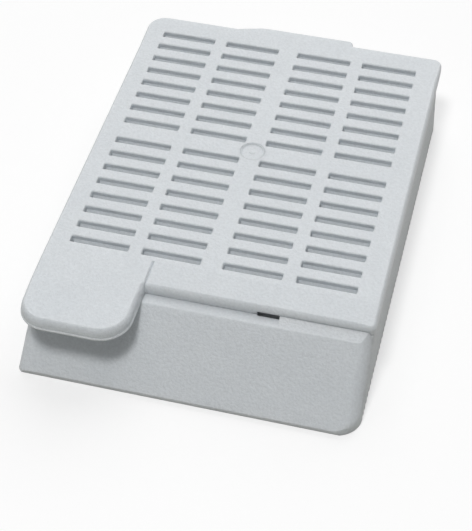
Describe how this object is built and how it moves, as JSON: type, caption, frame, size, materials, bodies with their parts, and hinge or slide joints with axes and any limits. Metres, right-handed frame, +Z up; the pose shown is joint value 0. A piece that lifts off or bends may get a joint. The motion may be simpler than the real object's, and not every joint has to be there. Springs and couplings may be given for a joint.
{
  "type": "tissue cassette",
  "caption": "Slotted plastic cassette that holds a tissue sample during processing, with a sloped writing face, a hinged slotted lid and a thumb tab to open it.",
  "frame": {"origin": "centre of the bounding box, on the plane that the cassette rests on", "axes": "X across the cassette, Y from the writing face to the hinge, Z up"},
  "size_m": [0.0286, 0.041, 0.0065],
  "materials": {
    "acetal": "fine satin moulded surface, pale grey"
  },
  "bodies": {
    "base": {"base": "acetal"},
    "lid": {"lid": "acetal"}
  },
  "joints": [
    {"name": "lid_hinge", "type": "hinge", "parent": "base", "child": "lid", "pos_m": [0, 0.01953, 0.0049], "axis": [-1, 0, 0], "range_deg": [0, 95]}
  ]
}
